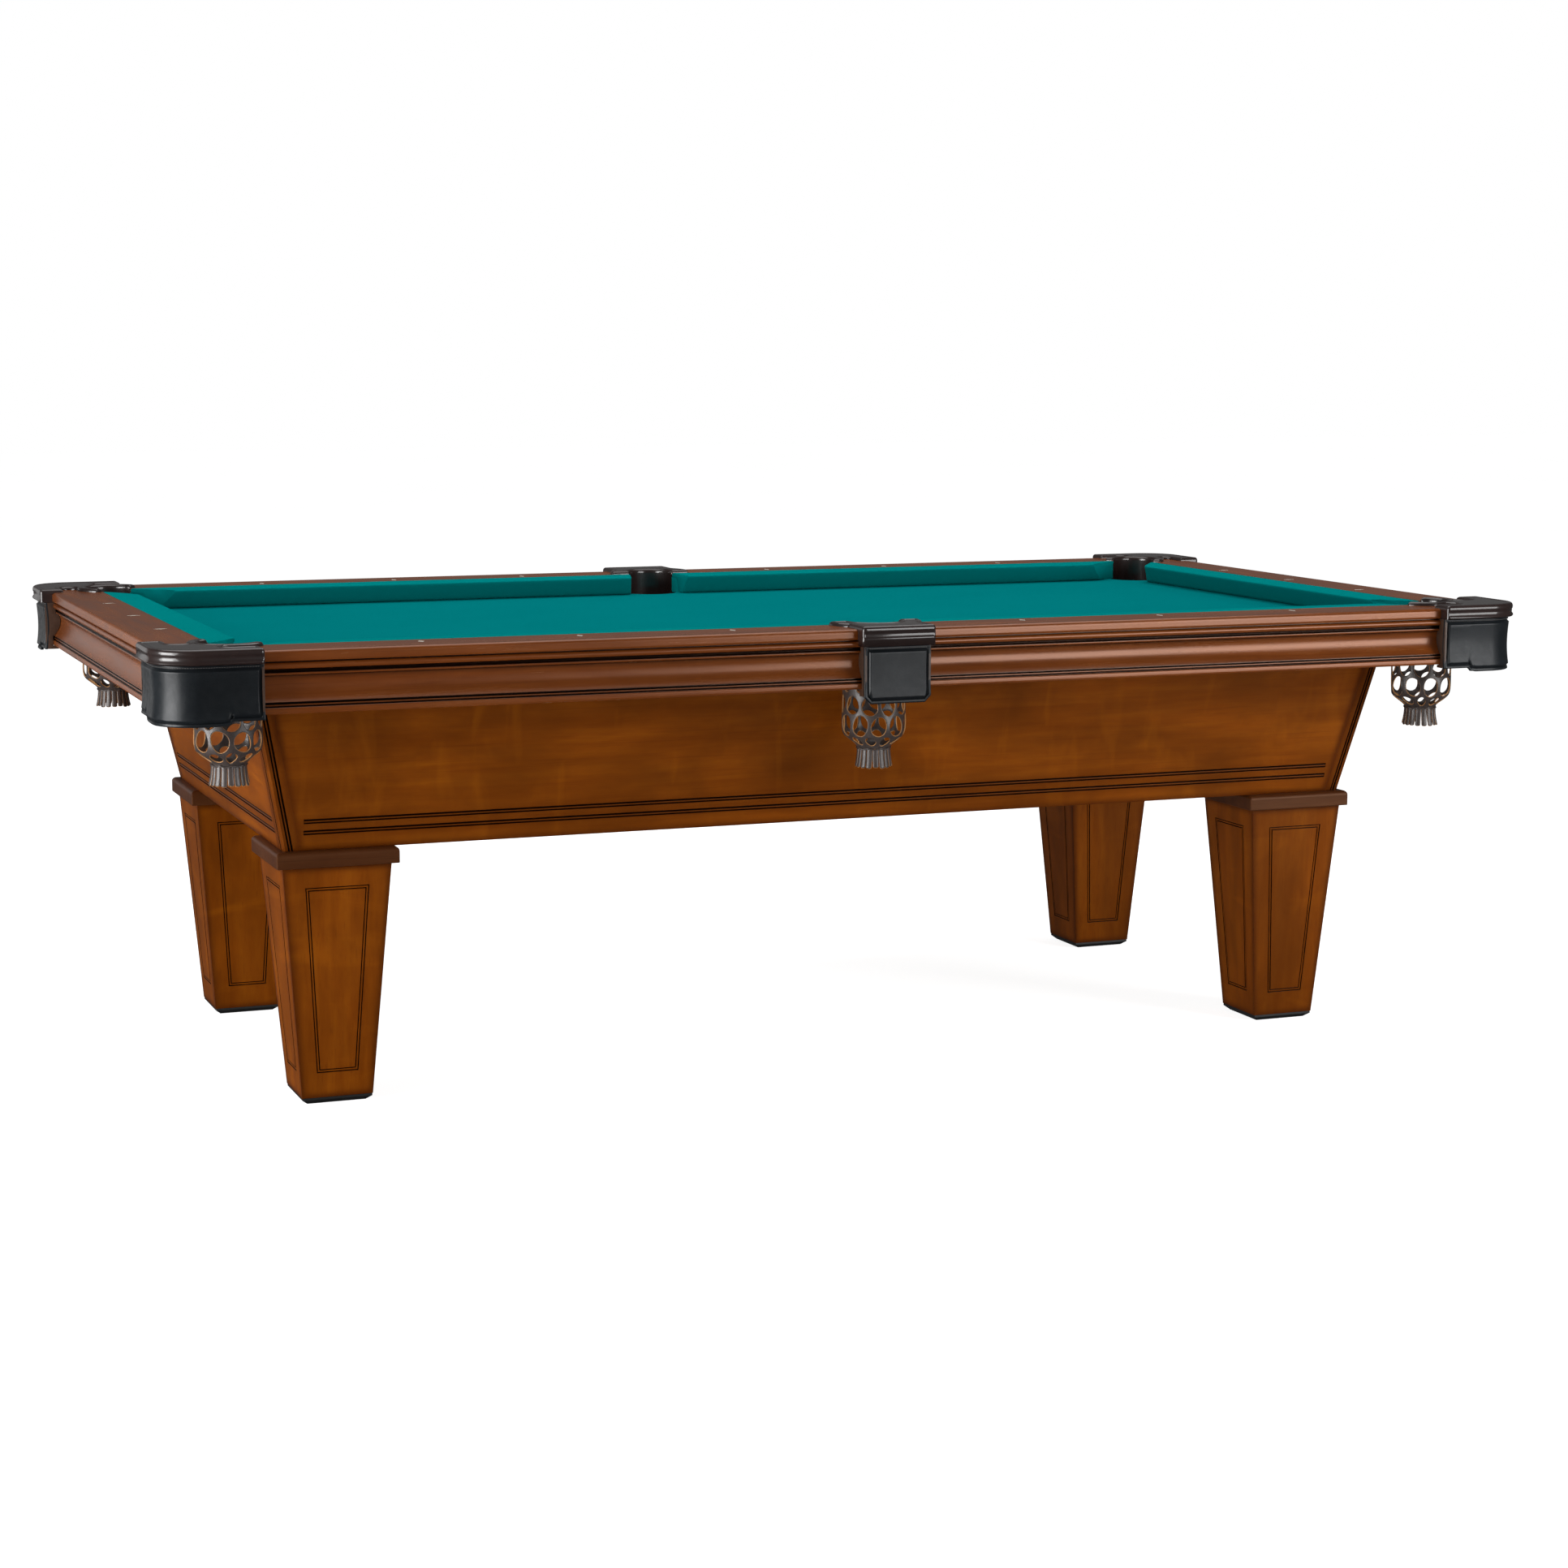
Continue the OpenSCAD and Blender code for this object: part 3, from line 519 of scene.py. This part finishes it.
def waist_band(bm, spot, corner):
    """Moves the outer face of the iron's band in and out to its profile."""
    for z, _ in BAND[1:-1]:
        bmesh.ops.bisect_plane(bm, geom=bm.verts[:] + bm.edges[:] + bm.faces[:], dist=1e-6,
                               plane_co=(0, 0, z * MM), plane_no=(0, 0, 1))
    turn = CORNER_TURN if corner else 0
    outer_face = 183.5
    for v in bm.verts:
        z = v.co.z / MM
        if not 812.9 < z < 829.5:
            continue
        u, w = beyond(v.co, spot, corner)
        away = Vector((max(0.0, u - turn), max(0.0, w - turn)))
        if away.length < outer_face - turn:
            continue
        out = away.normalized() * follow(BAND, z) * MM
        v.co.x += spot[0] * out.x
        v.co.y += spot[1] * out.y


def iron(node, spot, corner):
    """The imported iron's solid with a rolled top and a waisted outer band over a small bead."""
    bm = bmesh.new()
    bm.from_mesh(NODES[node].data)
    bmesh.ops.remove_doubles(bm, verts=bm.verts, dist=5e-6)
    bmesh.ops.dissolve_limit(bm, angle_limit=0.004, verts=bm.verts, edges=bm.edges)
    round_ends(bm, spot, corner)
    top_z = max(v.co.z for v in bm.verts)
    top = [f for f in bm.faces if f.normal.z > 0.9 and f.calc_center_median().z > top_z - 1e-4]
    rolled_top(bm, bmesh.utils.face_join(top) if len(top) > 1 else top[0])
    waist_band(bm, spot, corner)
    bmesh.ops.triangulate(bm, faces=[f for f in bm.faces if len(f.verts) > 4])
    mesh = bpy.data.meshes.new(node + "_leather")
    bmesh.ops.recalc_face_normals(bm, faces=bm.faces)
    bm.to_mesh(mesh)
    bm.free()
    smooth(mesh, 38)
    skin(linked(node + "_leather", mesh), "iron", "pocket_leather", node)


# ---------------------------------------------------------------- shields

def moulding(z):
    """How far the rail's moulded skirt stands out from the nose line at height z."""
    if z < 726:
        return 150.0
    if z < 746:
        return 160.5
    if z < 790:
        return 145.5 + 0.0166 * (z - 775) ** 2
    return 154.5 + 4.5 * max(0.0, 1 - abs(z - 805.3) / 6) if z < 813 else 160.5


def eased(x, a, b):
    """Goes smoothly from 0 to 1 as x goes from a to b."""
    t = min(1.0, max(0.0, (x - a) / (b - a)))
    return t * t * (3 - 2 * t)


def relief(m):
    """Height of a shield's face at distance m from its nearest edge: rolled lip, groove, raised panel."""
    roll, groove, panel, plateau = 1.8, 5.0, 7.6, 11.0
    h = -roll * max(0.0, 1 - m / roll) ** 2
    if groove < m < panel:
        h -= 1.7 * math.sin((m - groove) / (panel - groove) * math.pi)
    return h + 3.0 * eased(m, panel, plateau)


# distances from a shield's edge at which its relief needs points
RELIEF_STEPS = (0.5, 1.2, 5, 5.6, 6.3, 7, 7.6, 8.4, 9.3, 10.2, 11)


def shield_mesh(name, path, length, z_low, z_top, spot, origin, hollow, lip, node):
    """Stiff leather apron: a concave face with a flared lower lip and a raised panel, and a plain back."""
    wide, margin, thick = 150, 13, 5.2
    places = {length * i / wide for i in range(wide + 1)}
    for d in RELIEF_STEPS:
        places |= {d, length - d}
    edge = sorted((0, 2, 3.4, margin) + RELIEF_STEPS)
    tall = z_top - z_low(length / 2)
    rows = [e / tall for e in edge] + [(margin + (tall - 2 * margin) * i / 14) / tall for i in range(1, 14)]
    rows += [1 - e / tall for e in reversed(edge)]
    front, back = [], []
    for s in sorted(places):
        base = z_low(s)
        slope = z_low(s + 0.5) - z_low(s - 0.5)
        for r in rows:
            z = base + (z_top - base) * r
            m = min(s, length - s, (z - base) / math.sqrt(1 + slope * slope), z_top - z)
            bow = -hollow * math.sin(math.pi * r) + lip * (1 - r) ** 5
            front.append((*path(s, bow + relief(m)), z))
            back.append((*path(s, -thick + bow * 0.8), z))
    obj = piece(name, placed(front + back, spot, origin), slab_faces(len(places), len(rows)), 48)
    skin(obj, "shield", "shield_leather", node)


def corner_path(out):
    """Path round a corner pocket at a distance out from both nose lines, and its length."""
    start, turn, r = 3.5, CORNER_TURN, out - CORNER_TURN
    straight, bend = turn - start, r * math.pi / 2

    def at(s, h):
        if s < straight:
            return start + s, out + h
        if s < straight + bend:
            a = (s - straight) / r
            return turn + (r + h) * math.sin(a), turn + (r + h) * math.cos(a)
        return out + h, turn - (s - straight - bend)
    return at, 2 * straight + bend


def web(name, spot, origin, fixed, z_low, z_top, out, swap=False, chamfer=0.0):
    """Leather gusset, 4 mm thick, from a shield's end back to the moulding; swap sets it on the end rail."""
    rows, across = 41, (0, 0.12, 0.5, 0.88, 1)
    pts = []
    for x, bulge in ((fixed, 0.7), (fixed + 4.0, 0)):
        for i in range(rows):
            z = z_low + (z_top - z_low) * i / (rows - 1)
            inner = moulding(z)
            outer = max(inner + 2, out - max(0.0, chamfer - (z - z_low)))
            for t in across:
                u, v = x - bulge * math.sin(math.pi * t), inner + (outer - inner) * t
                pts.append((v, u, z) if swap else (u, v, z))
    obj = piece(name, placed(pts, spot, origin), slab_faces(rows, len(across)), 40)
    skin(obj, "web", "shield_leather")


def stitches(name, path, length, z, spot, origin):
    """Row of short sewn stitches, each a flattened six-sided bead that swells from its ends."""
    inset, pitch, lift = 8, 4.2, 0.2
    bead = ((-1.5, 0.12), (-1.1, 0.42), (0, 0.55), (1.1, 0.42), (1.5, 0.12))
    pts, faces = [], []
    count = int((length - 2 * inset) / pitch)
    for i in range(count):
        middle = inset + (length - 2 * inset) * (i + 0.5) / count
        first = len(pts)
        for along, radius in bead:
            for q in range(6):
                turn = q * math.pi / 3
                pts.append((*path(middle + along, lift + radius * 0.8 * math.sin(turn)),
                            z + radius * math.cos(turn)))
        faces += grid_faces(len(bead), 6, close=True, start=first)
        faces += [tuple(range(first, first + 6)), tuple(range(first + 24, first + 30))]
    obj = piece(name, placed(pts, spot, origin), faces, 60)
    skin(obj, "thread", "shield_leather")


def corner_shield(name, spot):
    """Wraps round the corner, with its lower edge stepped down at both ends."""
    path, length = corner_path(175.6)
    top = 812.6
    origin = (HALF_L, HALF_W)

    def low(s):
        from_end = min(s, length - s)
        return 712 + 7.5 * (1 - eased(from_end, 52, 60)) + 1.2 * math.exp(-((from_end - 62) / 5) ** 2)
    shield_mesh("shield_" + name + "_leather", path, length, low, top, spot, origin, 3.4, 2.2,
                "corner_shield_" + name)
    stitches("shield_" + name + "_stitching", path, length, top - 3.8, spot, origin)
    for side, swap in (("a", False), ("b", True)):
        web("shield_" + name + "_web_" + side, spot, origin, 4.0, 720, top, 175.0, swap)


def side_shield(name, spot):
    """Flat, with chamfered lower corners."""
    length, top = 127.0, 802.6
    origin = (0, HALF_W)

    def path(s, h):
        return s - length / 2, 175.8 + h

    def low(s):
        return 701 + max(0.0, 12 - min(s, length - s))
    shield_mesh("shield_middle_" + name + "_leather", path, length, low, top, spot, origin, 0.6, 1.6,
                "side_shield_" + name)
    stitches("shield_middle_" + name + "_stitching", path, length, top - 3.8, spot, origin)
    for side, x in (("a", -62.8), ("b", 58.8)):
        web("shield_middle_" + name + "_web_" + side, spot, origin, x, 714, top, 175.5, chamfer=6)


# ---------------------------------------------------------------- nets

def leather_wall(obj, thick, levels):
    """Gives a flat-cut leather piece its thickness, with the pale cut edge as a second material."""
    wall = obj.modifiers.new("thick", "SOLIDIFY")
    wall.thickness, wall.offset, wall.material_offset_rim = thick * MM, 0, 1
    soft = obj.modifiers.new("round", "SUBSURF")
    soft.levels = soft.render_levels = levels


def bag(name, spot, centre, z0, seed, node):
    """Leather bag cut into staggered rows of hexagons; every cell is a ring of faces around its hole."""
    cells, top, hem = 10, 742.0, 752
    # height and radius, from the gathered neck up to the liner
    profile = [(z0 - 5, 32.0), (z0 + 14, 29.4), (z0 + 28, 27.6), (z0 + 34, 27.6), (z0 + 39, 31.5),
               (z0 + 45, 40.5), (z0 + 52, 51.0), (z0 + 60, 57.4), (z0 + 68, 58.8), (z0 + 84, 57.2),
               (z0 + 100, 55.8), (712, 55.6), (728, 55.4), (756, 54.9)]
    # heights where strands meet, from the neck up; each row of holes spans four of them
    knots = [z0 + rise for rise in (33, 40, 51, 62, 88, 99, 123, 134)] + [top - 4, top]
    # each row's share of its cells that is cut open, across and up
    open_part = ((0.74, 0.74), (0.84, 0.86), (0.84, 0.86), (0.5, 0.5))
    pts, faces = [], []
    seen = {}

    def at(j, z, wob=1.0):
        """Point on the bag, j cells round; wob sets how unevenly it hangs."""
        a = 2 * math.pi * j / cells
        w = noise.noise_vector(Vector((math.cos(a) * 2.2, math.sin(a) * 2.2, z * 0.05)) + seed)
        zz = z + wob * 3.5 * w.y
        r = follow(profile, zz) + wob * 1.0 * w.z
        b = a + wob * 0.15 * w.x + 0.2
        return centre[0] + r * math.cos(b), centre[1] + r * math.sin(b), zz

    def corner(j, z, wob=1.0):
        """Index of a point that neighbouring cells share."""
        key = (round((j % cells) * 24), round(z * 20), wob > 0)
        if key not in seen:
            seen[key] = len(pts)
            pts.append(at(j, z, wob))
        return seen[key]

    def cell(m, heights, keep):
        low, mid_low, mid_high, high = heights
        ring = [(m, low), (m + 0.5, mid_low), (m + 0.5, mid_high),
                (m, high), (m - 0.5, mid_high), (m - 0.5, mid_low)]
        middle = (low + high) / 2
        outer = [corner(j, z) for j, z in ring]
        first = len(pts)
        pts.extend(at(m + (j - m) * keep[0], middle + (z - middle) * keep[1]) for j, z in ring)
        for i in range(6):
            k = (i + 1) % 6
            faces.append((outer[i], outer[k], first + k, first + i))

    last = 0.5 * ((len(open_part) - 1) % 2)
    for c in range(cells):
        for row, keep in enumerate(open_part):
            cell(c + 0.5 * (row % 2), knots[2 * row:2 * row + 4], keep)
        for e in (-0.5, 0.5):
            faces.append((corner(c, knots[0]), corner(c + e, knots[1]), corner(c + e, knots[0])))
            high = c + last
            faces.append((corner(high, knots[9]), corner(high + e, knots[8]), corner(high + e, knots[9])))
        for e in (0, 0.5):
            here, there = c + e, c + e + 0.5
            faces.append((corner(here, top), corner(there, top), corner(there, hem, 0),
                          corner(here, hem, 0)))
            faces.append((corner(here, knots[0]), corner(there, knots[0]), corner(there, z0 + 26),
                          corner(here, z0 + 26)))
    obj = piece(name + "_bag", placed(pts, spot, (0, 0)), faces, 80)
    leather_wall(obj, 3.0, 2)
    skin(obj, "net", "net_leather", node)
    obj.data.materials.append(MATERIALS["cut"])


def fringe(name, spot, centre, z0, seed):
    """Strips of uneven length that flare out below the neck."""
    strips, rows, sides = 17, 9, (-1, -0.4, 0.4, 1)
    width = 2 * math.pi / strips
    pts, faces = [], []
    for i in range(strips):
        w = noise.noise_vector(Vector((i * 0.77, z0, 0.3)) + seed)
        faces += grid_faces(rows, len(sides), start=len(pts))
        for q in range(rows):
            t = q / (rows - 1)
            z = z0 + 32 - (34 + 3.5 * w.x) * t
            gap = 0.01 + 0.09 * t
            for side in sides:
                a = width * (i + side * 0.5 * (1 - gap)) + 0.05 * w.z * t
                r = 28.2 + (4.6 + 1.2 * w.y) * t * t + (0.6 if abs(side) < 0.5 else -0.2)
                tip = 1.6 * (1 - abs(side)) * t
                pts.append((centre[0] + r * math.cos(a), centre[1] + r * math.sin(a), z - tip))
    obj = piece(name + "_fringe", placed(pts, spot, (0, 0)), faces, 80)
    leather_wall(obj, 2.6, 1)
    skin(obj, "net", "net_leather")
    obj.data.materials.append(MATERIALS["cut"])


def lace(name, spot, centre, z0):
    """Cord of leather drawn round the neck in a wave."""
    n, k, thick = 96, 8, 1.5
    pts = []
    for i in range(n):
        a = 2 * math.pi * i / n
        wave = 1.1 * math.sin(9 * a)
        for q in range(k):
            b = 2 * math.pi * q / k
            r = 30.0 + 0.5 * wave + thick * math.cos(b)
            pts.append((centre[0] + r * math.cos(a), centre[1] + r * math.sin(a),
                        z0 + 31 + wave + thick * math.sin(b)))
    faces = [tuple(i % (n * k) for i in face) for face in grid_faces(n + 1, k, close=True)]
    obj = piece(name + "_lace", placed(pts, spot, (0, 0)), faces, 80)
    skin(obj, "net", "net_leather")


def net(name, spot, centre, z0, node):
    seed = Vector((centre[0] * 0.013 + spot[0] * 5.3, spot[1] * 9.1, z0 * 0.1))
    bag(name, spot, centre, z0, seed, node)
    fringe(name, spot, centre, z0, seed)
    lace(name, spot, centre, z0)


for name, spot in CORNERS.items():
    iron("corner_iron_" + name, spot, True)
    corner_shield(name, spot)
    net("net_" + name, spot, (HALF_L / MM + 40, HALF_W / MM + 40), 600, "corner_net_" + name)
for name, spot in SIDES.items():
    iron("side_iron_" + name, spot, False)
    side_shield(name, spot)
    net("net_middle_" + name, spot, (0, HALF_W / MM + 66), 578, "side_net_" + name)


# ---------------------------------------------------------------- stage

def lit_by_ray(tree, seen, glossy, other):
    """Grey level that a surface or the world shows to the camera, to reflections and to everything else."""
    path = tree.nodes.new("ShaderNodeLightPath")
    inner, outer = (tree.nodes.new("ShaderNodeMix") for _ in range(2))
    inner.inputs[2].default_value, inner.inputs[3].default_value = other, glossy
    outer.inputs[3].default_value = seen
    tree.links.new(path.outputs["Is Glossy Ray"], inner.inputs[0])
    tree.links.new(path.outputs["Is Camera Ray"], outer.inputs[0])
    tree.links.new(inner.outputs[0], outer.inputs[2])
    return outer.outputs[0]


def area(name, at, aim, size, power, diffuse=True, glossy=True):
    light = bpy.data.lights.new(name, "AREA")
    light.shape, light.size, light.size_y, light.energy = "RECTANGLE", size[0], size[1], power
    obj = bpy.data.objects.new(name, light)
    obj.location = at
    obj.rotation_euler = (Vector(aim) - Vector(at)).to_track_quat("-Z", "Y").to_euler()
    obj.visible_camera = False
    obj.visible_diffuse = diffuse
    obj.visible_glossy = glossy
    bpy.context.scene.collection.objects.link(obj)


def floor():
    bpy.ops.mesh.primitive_plane_add(size=60, location=(0, 0, 0))
    obj = bpy.context.active_object
    obj.name = "floor"
    s = Shader("floor")
    tone = s.noise(s.place(), 0.7, 3)
    paint(obj, s.out(Base_Color=s.mix(s.span(tone, 0.3, 0.7), (0.70, 0.70, 0.70), (0.74, 0.74, 0.74)),
                     Roughness=0.9, Specular_IOR_Level=0.0, Emission_Color=(1, 1, 1, 1),
                     Emission_Strength=lit_by_ray(s.tree, 0.88, 0.0, 0.04)))
    obj.visible_glossy = False


def lights():
    world = bpy.data.worlds.new("studio")
    bpy.context.scene.world = world
    world.use_nodes = True
    tree = world.node_tree
    tree.links.new(lit_by_ray(tree, 1.0, 0.06, 0.17), tree.nodes["Background"].inputs["Color"])

    area("overhead", (0, 0.3, 3.6), (0, 0, 0.8), (5.0, 3.4), 106)
    area("right", (3.0, -3.3, 1.5), (1.1, -0.5, 0.6), (1.6, 1.6), 84, glossy=False)
    area("right gloss", (4.1, -5.6, 1.7), (4.1, 0, 1.7), (4.6, 3.4), 340, diffuse=False)
    area("left", (-4.4, -1.3, 1.2), (-1.0, -0.2, 0.5), (1.8, 1.6), 88)
    area("left gloss", (-5.2, -1.6, 1.4), (-1.2, -0.5, 0.78), (4.0, 2.4), 200, diffuse=False)
    area("low left", (-3.4, -1.2, 0.25), (-1.0, -0.3, 0.2), (1.6, 0.5), 30)
    area("front", (-0.6, -6.0, 1.6), (0, -0.5, 0.5), (4.5, 1.6), 3, glossy=False)
    area("back", (1.5, 6.0, 1.9), (0, 0.5, 0.8), (9.0, 3.4), 5)
    area("back left", (-3.2, 5.5, 1.0), (-1.3, 0, 0.77), (2.5, 2.4), 8, diffuse=False)


def camera():
    """Looks from the front left, a little down."""
    place = (-2.1540, -5.7519, 1.3463)
    yaw, pitch, roll = (math.radians(a) for a in (21.13, -8.23, 0.06))
    lens = bpy.data.cameras.new("camera")
    lens.sensor_width = 36
    lens.lens = 71.62
    lens.clip_end = 100
    obj = bpy.data.objects.new("camera", lens)
    bpy.context.scene.collection.objects.link(obj)
    ahead = Vector((math.sin(yaw) * math.cos(pitch), math.cos(yaw) * math.cos(pitch), math.sin(pitch)))
    level = Vector((math.cos(yaw), -math.sin(yaw), 0))
    upright = level.cross(ahead)
    right = math.cos(roll) * level + math.sin(roll) * upright
    up = -math.sin(roll) * level + math.cos(roll) * upright
    obj.matrix_world = Matrix.Translation(place) @ Matrix((right, up, -ahead)).transposed().to_4x4()
    bpy.context.scene.camera = obj


floor()
lights()
camera()
bpy.context.scene.view_settings.view_transform = "Standard"
bpy.context.scene.view_settings.look = "None"
